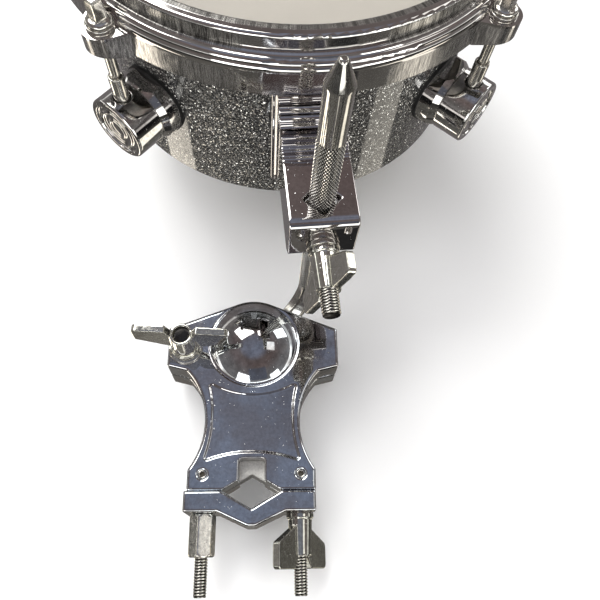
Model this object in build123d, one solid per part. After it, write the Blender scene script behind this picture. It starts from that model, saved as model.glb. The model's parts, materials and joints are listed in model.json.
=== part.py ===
from build123d import *
import os
from math import acos, atan2, cos, hypot, radians, sin

# A small tom tom drum on a ball-jointed L-rod and a hinged tube clamp.
# Millimetres. The origin is the middle of the clamp's tube hole, half way through the clamp.
# +Z is up, along the stand tube, and +Y runs along the clamp towards the drum.

# ---------------------------------------------------------------- driving dimensions

# Clamp castings
clamp_half_thickness = 15.0
ball_y = 72.0                   # ball centre, from the tube hole along +Y
ball_r = 16.0
dome_r = 21.5
dome_height = 9.5
collar_r = 23.3
ear_reach = 43.0
ear_low_y, ear_high_y = 60.0, 80.0
waist_half = 23.0
jaw_half = 30.0
vee_half_x, vee_half_y = 14.0, 8.1
key_pocket_depth = 9.0
curved_gap = 0.3                # between curved faces of pieces that move on each other
running_gap = 0.05              # radial, between a screw and its nut

# Clamp screws
swing_bolt_x, swing_pin_y = 23.0, 7.3
swing_bolt_r = 3.175            # quarter-inch screw
swing_bolt_end = -45.0
swing_eye_r = 5.0
swing_eye_half = 3.2
jaw_depth, jaw_crest = 9.2, 15.5
hex_across_flats, hex_length = 11.1, 18.9
ear_bolt_x, ear_bolt_y, ear_bolt_r = -34.0, 68.7, 4.0
ear_washer_r, ear_washer_thick = 8.4, 2.0

# L-rod
rod_r = 5.25
knurl_r = 5.5
rod_hex_flats = 9.5
arm_length = 41.74              # ball centre to the upright leg
arm_angle = 46.94               # of the arm from +X, seen from above
arm_swings = (-6.0, 40.0)       # towards the right-hand ear, and away from it
bend_r = 20.0
hex_top, knurl_top, rod_shoulder, rod_tip = 23.0, 139.0, 164.0, 174.0

# Drum: an 8 inch shell
shell_r, shell_wall = 99.5, 6.0
shell_bottom, shell_top = 30.5, 128.0
film = 0.5
head_top = 130.0
edge_r = 98.5                   # where the head meets the bearing edge
flesh_in, flesh_out = 103.5, 109.3
flesh_low, flesh_high = 119.5, 128.3
hoop_wall_r, hoop_lip_r, hoop_sheet = 107.0, 112.6, 2.2
hoop_low, hoop_rim, rim_in_r = 115.7, 141.0, 99.7
rod_circle = 117.0              # radius of the tension rods
ear_pad, ear_r = 128.0, 8.2
tension_r = 2.4
lug_z, lug_count = 73.0, 4
lug_r, lug_base_r, lug_seam, lug_face = 15.8, 17.3, 109.3, 125.1
gasket_thick = 1.5

# Bracket on the shell
bracket_yaw = 5.0               # the bracket points 5 degrees to the right of -Y
rod_to_drum = 151.5             # drum axis to the L-rod
base_half, base_low, base_high, base_corner = 16.4, 50.0, 113.0, 2.0
arm_half, arm_top, arm_low, arm_front = 14.4, 101.0, 74.0, 164.0
bracket_wall = 3.6
eyebolt_z, eyebolt_r, eyebolt_end = 84.5, 4.0, 196.0
eye_out, eye_half = 8.7, 5.0
washer_r, washer_thick = 7.2, 2.6

# Places that follow
rod_x = arm_length * cos(radians(arm_angle))
rod_y = ball_y + arm_length * sin(radians(arm_angle))
drum_x = rod_x - rod_to_drum * sin(radians(bracket_yaw))
drum_y = rod_y + rod_to_drum * cos(radians(bracket_yaw))
shell_in = shell_r - shell_wall
gasket_out = shell_r + gasket_thick

drum_place = Location((drum_x, drum_y, 0))
bracket_place = Location((drum_x, drum_y, 0), (0, 0, bracket_yaw - 90))
arm_place = Location((0, ball_y, 0), (0, 0, arm_angle))


def lug_place(number):
    """The lugs stand 45 degrees either side of the bracket, and opposite those."""
    return Location((drum_x, drum_y, 0), (0, 0, bracket_yaw - 45 + 90 * number))


# ---------------------------------------------------------------- shapes used in several parts

def post(radius, low, high, x=0.0, y=0.0):
    """Upright cylinder."""
    return Pos(x, y, (low + high) / 2) * Cylinder(radius, high - low)


def bar_x(radius, start, end, y=0.0, z=0.0):
    """Cylinder along X."""
    return Pos((start + end) / 2, y, z) * Rot(0, 90, 0) * Cylinder(radius, end - start)


def bar_y(radius, start, end, x=0.0, z=0.0):
    """Cylinder along Y."""
    return Pos(x, (start + end) / 2, z) * Rot(90, 0, 0) * Cylinder(radius, end - start)


def block(x0, x1, y0, y1, z0, z1):
    """Box between two corners."""
    return Pos((x0 + x1) / 2, (y0 + y1) / 2, (z0 + z1) / 2) * Box(x1 - x0, y1 - y0, z1 - z0)


def ring(outer, inner, low, high):
    """Upright tube about the local axis."""
    return post(outer, low, high) - post(inner, low, high)


def prism(outline, low, high):
    """A flat outline drawn out upwards between two heights."""
    return Pos(0, 0, low) * extrude(outline, amount=high - low)


def outline_of(*points):
    """Face inside straight lines through the points."""
    return make_face(Polyline(*points, close=True))


def turned(profile):
    """Solid of revolution about Z of a face drawn as (radius, height)."""
    return revolve(Plane.XZ * profile, axis=Axis.Z)


def wing_nut(bore, hub, reach, wing_tip=13.3, wing_top=24.5):
    """Cast wing nut that stands on its base at z = 0, its wings along X."""
    length, foot = 18.8, 2.5
    wing_low, wing_half = 4.5, 1.8
    body = post(hub + 0.8, 0, foot) + Pos(0, 0, (length + foot) / 2) * Cone(hub, hub - 0.6, length - foot)
    blade = outline_of(
        (bore - 0.5, wing_low), (reach, wing_tip), (reach, wing_top), (hub + 1.2, wing_top),
        (bore + 0.6, length - 0.5), (bore - 0.5, length - 0.5),
    )
    blade = fillet(blade.vertices().sort_by(Axis.X)[-2:], 2.0)
    wing = extrude(Plane.XZ * blade, amount=wing_half, both=True)
    return body + wing + mirror(wing, Plane.YZ) - post(bore, -1, wing_top + 1)


# ---------------------------------------------------------------- drum shell and head

def shell():
    """Ply shell with an inward bevel up to the bearing edge, open at the bottom."""
    wall = drum_place * turned(outline_of(
        (shell_r, shell_bottom), (shell_r, shell_top), (edge_r, head_top - film),
        (shell_in, head_top - film - shell_wall), (shell_in, shell_bottom),
    ))
    reach = shell_r + 3
    for number in range(lug_count):
        for height in lug_screw_heights:
            wall -= lug_place(number) * bar_x(lug_screw_r + 0.2, shell_in - 3, reach, z=height)
    return wall - bracket_place * bracket_bolt_holes(shell_in - 3, reach, 0.2)


def drumhead():
    """Stretched film: a flat disc whose collar goes down into the flesh hoop."""
    return drum_place * turned(outline_of(
        (0, head_top), (edge_r, head_top), (flesh_in, head_top - 4.2), (flesh_in, flesh_low),
        (flesh_in - film, flesh_low), (flesh_in - film, head_top - 4.5), (edge_r, head_top - film),
        (0, head_top - film),
    ))


def flesh_hoop():
    """Rolled ring that grips the film's edge."""
    return drum_place * ring(flesh_out, flesh_in, flesh_low, flesh_high)


def hoop_section():
    """Section of the counter hoop: curled rim, wall, three ridges and lip."""
    rim = 1.3
    rim_low = hoop_rim - 2 * rim
    corner = 1.6
    inside = hoop_wall_r - hoop_sheet
    ridges = [(hoop_wall_r, 134.2), (109.6, 132.7), (111.5, 130.6), (hoop_lip_r, 127.8)]
    edges = [
        ThreePointArc((rim_in_r + rim, rim_low), (rim_in_r, rim_low + rim), (rim_in_r + rim, hoop_rim)),
        Line((rim_in_r + rim, hoop_rim), (hoop_wall_r - corner, hoop_rim)),
        ThreePointArc(
            (hoop_wall_r - corner, hoop_rim),
            (hoop_wall_r - corner * (1 - cos(radians(45))), hoop_rim - corner * (1 - sin(radians(45)))),
            (hoop_wall_r, hoop_rim - corner),
        ),
        Line((hoop_wall_r, hoop_rim - corner), ridges[0]),
    ]
    bulge = 0.45
    for (r0, z0), (r1, z1) in zip(ridges, ridges[1:]):
        span = hypot(r1 - r0, z1 - z0)
        middle = ((r0 + r1) / 2 + bulge * (z0 - z1) / span, (z0 + z1) / 2 + bulge * (r1 - r0) / span)
        edges.append(ThreePointArc((r0, z0), middle, (r1, z1)))
    edges.append(Polyline(
        ridges[-1], (hoop_lip_r, hoop_low + 0.7), (hoop_lip_r - 0.6, hoop_low),
        (hoop_lip_r - hoop_sheet + 0.6, hoop_low), (hoop_lip_r - hoop_sheet, hoop_low + 0.7),
        (hoop_lip_r - hoop_sheet, flesh_high - 0.8), (flesh_out + 0.2, flesh_high), (inside, flesh_high),
        (inside, rim_low - 1.0), (inside - 1.0, rim_low), (rim_in_r + rim, rim_low),
    ))
    return make_face(edges)


def ear_outline(margin):
    """Plan of a hoop ear: a lobe round the rod, with flanks that run out to the lip."""
    lobe_r = ear_r - margin
    root_x, root_y = 104.0, 15.0 - margin
    away = atan2(root_y, root_x - rod_circle)
    touch = away - acos(lobe_r / hypot(root_x - rod_circle, root_y))
    tangent = (rod_circle + lobe_r * cos(touch), lobe_r * sin(touch))
    flanks = outline_of((root_x, -root_y), (tangent[0], -tangent[1]), tangent, (root_x, root_y))
    return flanks + Pos(rod_circle, 0) * Circle(lobe_r)


def counter_hoop():
    """Chromed hoop with an ear at each tension rod."""
    hoop = drum_place * turned(hoop_section())
    slope = 17.0
    for number in range(lug_count):
        place = lug_place(number)
        ear = prism(ear_outline(0), hoop_low, ear_pad) - post(flesh_out + 1, hoop_low - 1, ear_pad + 1)
        sloped = Pos(hoop_lip_r, 0, hoop_low) * Rot(0, -slope, 0) * block(-2, 40, -30, 30, -20, 0)
        hollow = prism(ear_outline(hoop_sheet), hoop_low - 8, ear_pad - 2.5)
        recess = post(7.2, ear_pad, hoop_rim - 5, x=rod_circle)
        hole = post(tension_r + 0.6, ear_pad - 6, ear_pad + 6, x=rod_circle)
        hoop = hoop + place * (ear - sloped) - place * (hollow + recess + hole)
    return hoop


# ---------------------------------------------------------------- tuning hardware

head_washer_thick = 1.5
nut_neck_r, nut_neck_top = 3.5, 101.4
nut_head_r, nut_head_low, nut_head_high = 5.2, 64.0, 83.0
lug_screw_r, lug_screw_heights = 2.4, (lug_z - 8, lug_z + 8)


def tension_rod(number):
    """Screw with a round flange and a square drive, down through the ear into its lug."""
    seat = ear_pad + head_washer_thick
    shank = post(tension_r, nut_head_low + 2, seat, x=rod_circle)
    flange = Pos(rod_circle, 0, seat + 1.3) * Cone(5.5, 4.3, 2.6)
    half = 2.7
    drive = block(rod_circle - half, rod_circle + half, -half, half, seat + 2.6, seat + 11)
    return lug_place(number) * (shank + flange + chamfer(drive.faces().sort_by(Axis.Z)[-1].edges(), 0.6))


def tension_rod_washers():
    """A flat washer in the recess of each hoop ear."""
    top = ear_pad + head_washer_thick
    flat = post(6.0, ear_pad, top, x=rod_circle) - post(tension_r + 0.3, ear_pad, top, x=rod_circle)
    return Compound(children=[lug_place(number) * flat for number in range(lug_count)])


def lug_gasket(number):
    """Rubber pad between a lug and the shell."""
    disc = bar_x(lug_base_r + 0.5, shell_in, shell_r + 8, z=lug_z)
    pad = disc & ring(gasket_out, shell_r, lug_z - 30, lug_z + 30)
    for height in lug_screw_heights:
        pad -= bar_x(lug_screw_r + 0.2, shell_in, lug_seam, z=height)
    return lug_place(number) * pad


def lug_base(number):
    """Flared foot of a turret lug, with flats above and below."""
    taper = 3.2
    foot = bar_x(lug_base_r, shell_in, lug_seam - taper, z=lug_z)
    neck = Pos(lug_seam - taper / 2, 0, lug_z) * Rot(0, 90, 0) * Cone(lug_base_r, lug_r - 0.5, taper)
    foot = foot + neck - post(gasket_out, lug_z - 30, lug_z + 30)
    flat = 15.2
    for side in (-1, 1):
        low, high = sorted((lug_z + side * flat, lug_z + side * 30))
        foot -= block(gasket_out - 3, lug_seam - 1, -9, 9, low, high)
    for height in lug_screw_heights:
        foot -= bar_x(lug_screw_r + 0.05, shell_in, lug_seam - 1, z=height)
    return lug_place(number) * foot


def lug_turret(number):
    """Hollow round turret whose face has a raised border and plain rings."""
    cavity_end = 122.4
    body = bar_x(lug_r, lug_seam, lug_face, z=lug_z)
    body = chamfer(body.faces().sort_by(Axis.X)[-1].edges(), 0.8)
    body -= bar_x(12.0, lug_seam, cavity_end, z=lug_z)
    body -= bar_x(12.6, lug_face - 1.1, lug_face, z=lug_z)
    for outer, inner in ((9.6, 8.4), (5.2, 4.0)):
        body += bar_x(outer, lug_face - 1.3, lug_face - 0.5, z=lug_z) - bar_x(inner, cavity_end, lug_face, z=lug_z)
    return lug_place(number) * (body - post(nut_neck_r + 0.6, lug_z, lug_z + 30, x=rod_circle))


def lug_swivel_nut(number):
    """Long nut inside a lug, with a neck that stands out of the turret's top."""
    nut = post(nut_head_r, nut_head_low, nut_head_high, x=rod_circle)
    nut += post(nut_neck_r, nut_head_high - 1, nut_neck_top, x=rod_circle)
    bore = post(tension_r + running_gap, nut_head_low - 1, nut_neck_top + 1, x=rod_circle)
    return lug_place(number) * (nut - bore)


def radial_screw(radius, head_r, head_seat, head_thick, end, height):
    """Screw along +X whose head is inside the shell."""
    return bar_x(head_r, head_seat - head_thick, head_seat, z=height) + bar_x(radius, head_seat - 1, end, z=height)


lug_washer_seat = shell_in - 0.2
lug_washer_thick = 1.2


def lug_screws():
    """Two screws for each lug, put in from inside the shell."""
    seat = lug_washer_seat - lug_washer_thick
    screws = []
    for number in range(lug_count):
        for height in lug_screw_heights:
            screws.append(lug_place(number) * radial_screw(lug_screw_r, 4.2, seat, 3.0, lug_seam - 1.5, height))
    return Compound(children=screws)


def lug_washers():
    """The washers under those screws' heads."""
    washers = []
    for number in range(lug_count):
        for height in lug_screw_heights:
            flat = bar_x(5.0, lug_washer_seat - lug_washer_thick, lug_washer_seat, z=height)
            flat -= bar_x(lug_screw_r + 0.2, shell_in - 5, shell_in + 1, z=height)
            washers.append(lug_place(number) * flat)
    return Compound(children=washers)


# ---------------------------------------------------------------- bracket on the shell

bracket_bolt_r = 3.0
bracket_bolt_spots = [(swing, height) for swing in (-6.5, 6.5) for height in (58.0, 105.0)]
inner_plate_thick = 1.6


def bracket_bolt_holes(start, end, clearance):
    """The four radial bolt holes of the bracket."""
    holes = Part()
    for swing, height in bracket_bolt_spots:
        holes += Rot(0, 0, swing) * bar_x(bracket_bolt_r + clearance, start, end, z=height)
    return holes


def rounded_plate(half_width, low, high, corner):
    """Upright plate, thick along X, with rounded corners."""
    face = RectangleRounded(2 * half_width, high - low, corner)
    return Pos(90, 0, (low + high) / 2) * extrude(Plane.YZ * face, amount=40)


def bracket_foot(outer, inner):
    """Curved plate of the bracket's outline, between two radii from the drum's axis."""
    plate = rounded_plate(base_half, base_low, base_high, base_corner)
    return plate & ring(outer, inner, base_low - 5, base_high + 5)


def bracket_gasket():
    """Rubber sheet between the bracket and the shell."""
    pad = bracket_foot(gasket_out, shell_r)
    return bracket_place * (pad - bracket_bolt_holes(shell_in, 110, 0.2))


def arm_side_view():
    """Side view of the bracket's arm as (radius, height), with its steps and ridges on top."""
    nose = 4.0
    edges = [
        Polyline((gasket_out - 2, base_low + 4), (gasket_out - 2, base_high), (108.6, base_high),
                 (109.8, base_high - 1.0), (109.8, 109.6)),
        ThreePointArc((109.8, 109.6), (112.2, 110.5), (114.2, 108.4)),
        ThreePointArc((114.2, 108.4), (116.3, 108.4), (117.4, 106.0)),
        Polyline((117.4, 106.0), (118.1, 106.0), (118.1, 105.0), (123.2, 105.0), (123.2, 105.9),
                 (124.6, 105.9), (125.3, 101.8), (127.2, 101.8), (127.2, arm_top), (129.4, arm_top),
                 (129.4, 101.8), (131.0, 101.8), (131.0, arm_top), (arm_front - nose, arm_top)),
        ThreePointArc((arm_front - nose, arm_top),
                      (arm_front - nose * (1 - sin(radians(45))), arm_top - nose * (1 - cos(radians(45)))),
                      (arm_front, arm_top - nose)),
        Polyline((arm_front, arm_top - nose), (arm_front, arm_low + 5), (arm_front - 5, arm_low),
                 (128, arm_low), (108, base_low + 4), (gasket_out - 2, base_low + 4)),
    ]
    return make_face(edges)


def bracket_body():
    """Cast bracket: a curved base and a hollow arm with a square hole, on edge, for the rod."""
    base = bracket_foot(gasket_out + 5, gasket_out)
    arm = extrude(Plane.XZ * arm_side_view(), amount=arm_half, both=True)
    arm -= post(gasket_out, base_low - 5, base_high + 5)
    inner_half = arm_half - bracket_wall
    hollow = block(gasket_out + 8, arm_front - bracket_wall, -inner_half, inner_half, base_low - 1, arm_top - 4)
    diamond = Pos(rod_to_drum, 0) * Rot(0, 0, 45) * Rectangle(11.4, 11.4)
    body = base + (arm - hollow) - prism(diamond, arm_low, arm_top + 1)
    body -= bar_x(eyebolt_r + 0.2, arm_front - 8, arm_front + 1, z=eyebolt_z)
    for side in (-9.5, 9.5):
        body -= Pos(arm_front, side, arm_top - 5.5) * Rot(0, 0, 45) * Box(1.6, 1.6, 5)
    return bracket_place * (body - bracket_bolt_holes(gasket_out - 5, gasket_out + 4, 0.05))


def bracket_inner_plate():
    """Curved steel plate behind the bracket, inside the shell."""
    plate = Pos(-10, 0, 0) * rounded_plate(14.5, 50.5, 112.5, 5)
    plate &= ring(shell_in, shell_in - inner_plate_thick, base_low - 5, base_high + 5)
    return bracket_place * (plate - bracket_bolt_holes(shell_in - 10, shell_in + 2, 0.2))


def bracket_bolts():
    """Four bolts from inside the shell into the bracket's base."""
    seat = shell_in - inner_plate_thick - 0.15
    bolts = []
    for swing, height in bracket_bolt_spots:
        bolts.append(bracket_place * Rot(0, 0, swing) * radial_screw(
            bracket_bolt_r, 5.0, seat, 4.0, gasket_out + 3.9, height))
    return Compound(children=bolts)


def bracket_eyebolt():
    """Its eye goes round the rod, and its screw comes out through the arm's front wall."""
    eye = post(eye_out, eyebolt_z - eye_half, eyebolt_z + eye_half, x=rod_to_drum)
    screw = bar_x(eyebolt_r, rod_to_drum, eyebolt_end, z=eyebolt_z)
    screw = chamfer(screw.faces().sort_by(Axis.X)[-1].edges(), 0.8)
    bolt = eye + screw - post(knurl_r + curved_gap, eyebolt_z - 9, eyebolt_z + 9, x=rod_to_drum)
    slot = block(eyebolt_end - 2.2, eyebolt_end + 1, -0.6, 0.6, eyebolt_z - 6, eyebolt_z + 6)
    return bracket_place * (bolt - slot)


def bracket_washer():
    """Thick washer between the arm and the wing nut."""
    flat = bar_x(washer_r, arm_front, arm_front + washer_thick, z=eyebolt_z)
    flat = chamfer(flat.edges().filter_by(GeomType.CIRCLE), 0.4)
    return bracket_place * (flat - bar_x(eyebolt_r + 0.2, arm_front - 1, arm_front + 5, z=eyebolt_z))


def bracket_wing_nut():
    """Pulls the eyebolt, which pinches the rod in the square hole."""
    spin, wing_tip, wing_top = 160.0, 11.0, 20.4
    nut = wing_nut(eyebolt_r + running_gap, 5.9, 21.0, wing_tip, wing_top)
    nut = Rot(0, 90, 0) * Rot(0, 0, spin) * nut
    return bracket_place * Pos(arm_front + washer_thick, 0, eyebolt_z) * nut


# ---------------------------------------------------------------- L-rod and ball

def l_rod():
    """Hexagonal arm and bend, then a round upright leg, knurled below its smooth end."""
    hexagon = RegularPolygon(rod_hex_flats / 2, 6, major_radius=False, rotation=30)
    section = Plane.YZ * hexagon
    straight = arm_length - bend_r
    arm = Pos(-8, 0, 0) * extrude(section, amount=straight + 8)
    axis = Axis((straight, 0, bend_r), (0, -1, 0))
    bend = revolve(Pos(straight, 0, 0) * section, axis=axis, revolution_arc=90)
    riser = Pos(arm_length, 0, bend_r) * extrude(Rot(0, 0, 90) * hexagon, amount=hex_top - bend_r)
    leg = turned(outline_of(
        (0, hex_top), (rod_hex_flats / 2, hex_top), (knurl_r, hex_top + 1), (knurl_r, knurl_top),
        (rod_r, knurl_top), (rod_r, rod_shoulder), (1.8, rod_tip - 0.6), (1.2, rod_tip), (0, rod_tip),
    ))
    return arm_place * (arm + bend + riser + Pos(arm_length, 0, 0) * leg)


def ball():
    """Ball pressed on the end of the arm."""
    hexagon = RegularPolygon(rod_hex_flats / 2, 6, major_radius=False, rotation=30)
    socket = Pos(-8, 0, 0) * extrude(Plane.YZ * hexagon, amount=ball_r + 12)
    return arm_place * (Sphere(ball_r) - socket)


# ---------------------------------------------------------------- clamp

def casting_outline():
    """Plan of a clamp half: jaw, narrow waist, two ears and a round head over the ball."""
    corner = (ear_reach, ear_high_y)
    toward = atan2(corner[1] - ball_y, corner[0])
    touch = toward + acos(collar_r / hypot(corner[0], corner[1] - ball_y))
    tangent = (collar_r * cos(touch), ball_y + collar_r * sin(touch))
    shoulder = (33.0, ear_low_y - 2.5)
    right = [
        Polyline((0, 0), (jaw_half, 0), (jaw_half, 9.5)),
        ThreePointArc((jaw_half, 9.5), (waist_half, 34.0), shoulder),
        Polyline(shoulder, (ear_reach, ear_low_y), corner, tangent),
        ThreePointArc(tangent, (collar_r * cos(radians(80)), ball_y + collar_r * sin(radians(80))),
                      (0, ball_y + collar_r)),
        Line((0, ball_y + collar_r), (0, 0)),
    ]
    half = make_face(right)
    return half + mirror(half, Plane.YZ)


def panel_outline():
    """Sunk panel below the dome, with four hollow sides."""
    top, low = (22.1, 51.8), (23.2, 12.9)
    face = make_face([
        ThreePointArc((-top[0], top[1]), (0, 45.2), top),
        ThreePointArc(top, (19.5, 33.0), low),
        ThreePointArc(low, (0, 17.4), (-low[0], low[1])),
        ThreePointArc((-low[0], low[1]), (-19.5, 33.0), (-top[0], top[1])),
    ])
    return fillet(face.vertices(), 1.2)


def arm_slot():
    """Space between the halves in which the arm swings."""
    half, far = rod_hex_flats / 2 + 1.5, 70.0
    slot = Part()
    first, last = arm_swings
    for step in range(5):
        swing = first + (last - first) * step / 4
        path = block(0, far, -half - 0.3, half + 0.3, -half, half)
        slot += Pos(0, ball_y, 0) * Rot(0, 0, arm_angle + swing) * path
    ends = [(far * cos(radians(arm_angle + swing)), ball_y + far * sin(radians(arm_angle + swing)))
            for swing in arm_swings]
    return slot + prism(outline_of((0, ball_y), ends[0], ends[1]), -half, half)


def clamp_half():
    """Upper half of the clamp: everything above its middle plane."""
    top = clamp_half_thickness
    body = prism(casting_outline(), 0, top)
    body = fillet(body.faces().sort_by(Axis.Z)[-1].edges(), 1.4)
    sphere_r = (dome_r ** 2 + dome_height ** 2) / (2 * dome_height)
    dome = Pos(0, ball_y, top + dome_height - sphere_r) * Sphere(sphere_r)
    body += dome & post(dome_r, top - 1, top + dome_height + 1, y=ball_y)
    body -= Pos(0, ball_y, 0) * Sphere(ball_r + curved_gap)
    body -= arm_slot()
    body -= extrude(Pos(0, 0, top) * panel_outline(), amount=-0.8)
    body -= prism(outline_of((-vee_half_x, 0), (0, vee_half_y), (vee_half_x, 0)), -1, top + 1)
    key_pocket = Pos(0, 7.25) * Rectangle(12.6, 14.5) & Circle(15.2)
    body -= prism(key_pocket, top - key_pocket_depth, top + 1)
    body -= post(ear_bolt_r + 0.3, -1, top + 1, x=ear_bolt_x, y=ear_bolt_y)
    for side in (-1, 1):
        x = side * swing_bolt_x
        pocket_half = swing_eye_r + 0.5
        body -= block(x - pocket_half, x + pocket_half, -1, swing_pin_y, -1, swing_eye_half + 0.3)
        body -= post(pocket_half, -1, swing_eye_half + 0.3, x=x, y=swing_pin_y)
        body -= post(pin_r + 0.02, -1, top + 1, x=x, y=swing_pin_y)
        body -= Pos(x, swing_pin_y, top - 0.4) * Cone(pin_r, pin_r + 0.9, 0.8)
    return body


pin_r = 2.0
hook_x, hook_r = 37.5, 2.0


def hook(radius):
    """Rib between the right-hand ears, on which the halves rock."""
    return bar_y(radius, ear_low_y - 3, ear_high_y + 3, x=hook_x)


def clamp_top_casting():
    """Upper half, with a groove for the lower half's rib."""
    return clamp_half() - hook(hook_r + 0.1)


def clamp_bottom_casting():
    """Lower half, with the rib that the upper half rocks on."""
    lower = mirror(clamp_half(), Plane.XY)
    rib = block(hook_x - hook_r, hook_x + hook_r, ear_low_y + 1, ear_high_y - 1, -3, 3)
    return lower + (hook(hook_r) & rib) - arm_slot()


def ear_bolt():
    """Round-headed bolt that draws the halves together on the ball."""
    under = -clamp_half_thickness
    head = Pos(ear_bolt_x, ear_bolt_y, under - 2) * Cone(5.5, 7.8, 4)
    shank = post(ear_bolt_r, under - 1, clamp_half_thickness + 19, x=ear_bolt_x, y=ear_bolt_y)
    return head + chamfer(shank.faces().sort_by(Axis.Z)[-1].edges(), 0.6)


def ear_washer():
    """Flat washer under the ear's wing nut."""
    low, high = clamp_half_thickness, clamp_half_thickness + ear_washer_thick
    flat = post(ear_washer_r, low, high, x=ear_bolt_x, y=ear_bolt_y)
    return flat - post(ear_bolt_r + 0.3, low - 1, high + 1, x=ear_bolt_x, y=ear_bolt_y)


def ear_wing_nut():
    """Tightens the clamp on the ball."""
    nut = Rot(0, 0, -3) * wing_nut(ear_bolt_r + running_gap, 6.1, 22.5)
    return Pos(ear_bolt_x, ear_bolt_y, clamp_half_thickness + ear_washer_thick) * nut


def jaw_pins():
    """Two spring pins that hold the swing bolts' eyes."""
    length = clamp_half_thickness - 1.0
    pins = []
    for side in (-1, 1):
        x = side * swing_bolt_x
        pins.append(post(pin_r, -length, length, x=x, y=swing_pin_y)
                    - post(pin_r - 0.8, -length, length, x=x, y=swing_pin_y))
    return Compound(children=pins)


def jaw_bolt(side):
    """Swing bolt: an eye on its pin and a screw down through the jaw."""
    x = side * swing_bolt_x
    eye = post(swing_eye_r, -swing_eye_half, swing_eye_half, x=x, y=swing_pin_y)
    screw = bar_y(swing_bolt_r, swing_bolt_end, swing_pin_y, x=x)
    screw = chamfer(screw.faces().sort_by(Axis.Y)[0].edges(), 0.7)
    return eye + screw - post(pin_r + 0.02, -9, 9, x=x, y=swing_pin_y)


def jaw():
    """Loose jaw with the other half of the tube hole."""
    left, right, flat = -31.2, 29.8, 16.0
    outline = outline_of(
        (left, 0), (-vee_half_x, 0), (0, -vee_half_y), (vee_half_x, 0), (right, 0), (right, -jaw_depth),
        (flat, -jaw_depth), (2, -jaw_crest), (-2, -jaw_crest), (-flat, -jaw_depth), (left, -jaw_depth),
    )
    top = clamp_half_thickness
    body = prism(outline, -top, top)
    rims = body.faces().sort_by(Axis.Z)
    body = chamfer(rims[0].edges() + rims[-1].edges(), 0.8)
    slot_half = swing_bolt_r + curved_gap
    body -= bar_y(slot_half, -20, 5, x=-swing_bolt_x)
    body -= bar_y(slot_half, -20, 5, x=swing_bolt_x)
    body -= block(swing_bolt_x, right + 2, -20, 5, -slot_half, slot_half)
    for side in (-1, 1):
        x = side * swing_bolt_x
        body -= post(swing_eye_r + 0.5, -swing_eye_half - 0.3, swing_eye_half + 0.3, x=x, y=swing_pin_y)
    return body


def jaw_hex_nut():
    """Long hexagonal nut on the left-hand swing bolt."""
    nut = extrude(RegularPolygon(hex_across_flats / 2, 6, major_radius=False, rotation=14), amount=hex_length)
    nut = nut & Pos(0, 0, hex_length / 2) * chamfer(
        Cylinder(hex_across_flats / 2 + 0.95, hex_length).edges().filter_by(GeomType.CIRCLE), 0.8)
    nut -= post(swing_bolt_r + running_gap, -1, hex_length + 1)
    return Pos(-swing_bolt_x, -jaw_depth, 0) * Rot(90, 0, 0) * nut


def jaw_wing_nut():
    """Wing nut on the right-hand swing bolt."""
    nut = Rot(90, 0, 0) * Rot(0, 0, -54) * wing_nut(swing_bolt_r + running_gap, 5.7, 20.0)
    return Pos(swing_bolt_x, -jaw_depth, 0) * nut


# ---------------------------------------------------------------- write every node

def nodes():
    """All the nodes of the object, by name."""
    singles = [
        shell, drumhead, flesh_hoop, counter_hoop, tension_rod_washers, lug_screws, lug_washers,
        bracket_gasket, bracket_body, bracket_inner_plate, bracket_bolts, bracket_eyebolt,
        bracket_washer, bracket_wing_nut, l_rod, ball, clamp_top_casting, clamp_bottom_casting,
        ear_bolt, ear_washer, ear_wing_nut, jaw_pins, jaw, jaw_hex_nut, jaw_wing_nut,
    ]
    made = {make.__name__: make() for make in singles}
    for number in range(lug_count):
        for make in (tension_rod, lug_gasket, lug_base, lug_turret, lug_swivel_nut):
            made[f"{make.__name__}_{number + 1}"] = make(number)
    made["jaw_bolt_left"] = jaw_bolt(-1)
    made["jaw_bolt_right"] = jaw_bolt(1)
    return made


os.makedirs("parts", exist_ok=True)
for name, solid in nodes().items():
    export_step(solid, f"parts/{name}.step")
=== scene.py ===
"""Small tom tom drum with its bracket, L-rod and tube clamp: detailed pieces, materials, light and camera."""

import json
import math

import bmesh
import bpy
import numpy as np
from mathutils import Matrix, Vector


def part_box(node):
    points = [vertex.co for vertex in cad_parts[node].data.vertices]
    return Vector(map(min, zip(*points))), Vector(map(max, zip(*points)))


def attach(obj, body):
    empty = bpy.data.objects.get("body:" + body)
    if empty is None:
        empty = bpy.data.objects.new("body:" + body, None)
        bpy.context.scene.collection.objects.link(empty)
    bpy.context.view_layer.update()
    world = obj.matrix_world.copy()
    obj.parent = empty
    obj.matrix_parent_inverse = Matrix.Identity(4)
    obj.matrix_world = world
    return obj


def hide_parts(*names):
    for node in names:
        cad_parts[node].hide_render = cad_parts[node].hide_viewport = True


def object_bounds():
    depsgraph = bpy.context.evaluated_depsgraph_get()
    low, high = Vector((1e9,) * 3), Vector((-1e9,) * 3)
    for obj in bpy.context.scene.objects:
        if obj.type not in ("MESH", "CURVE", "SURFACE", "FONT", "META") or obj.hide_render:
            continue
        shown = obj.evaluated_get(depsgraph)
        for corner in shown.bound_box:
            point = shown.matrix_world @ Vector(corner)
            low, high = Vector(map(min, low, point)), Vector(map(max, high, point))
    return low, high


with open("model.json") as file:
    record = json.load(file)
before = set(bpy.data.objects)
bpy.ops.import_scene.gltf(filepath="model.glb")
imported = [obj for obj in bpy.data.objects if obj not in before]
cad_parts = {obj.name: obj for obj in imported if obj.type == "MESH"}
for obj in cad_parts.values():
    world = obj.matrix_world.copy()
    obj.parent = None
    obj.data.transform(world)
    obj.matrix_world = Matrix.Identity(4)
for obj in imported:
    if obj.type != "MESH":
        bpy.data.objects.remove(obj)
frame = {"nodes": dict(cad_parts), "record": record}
cad_low, cad_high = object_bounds()
scene = bpy.context.scene

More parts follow.
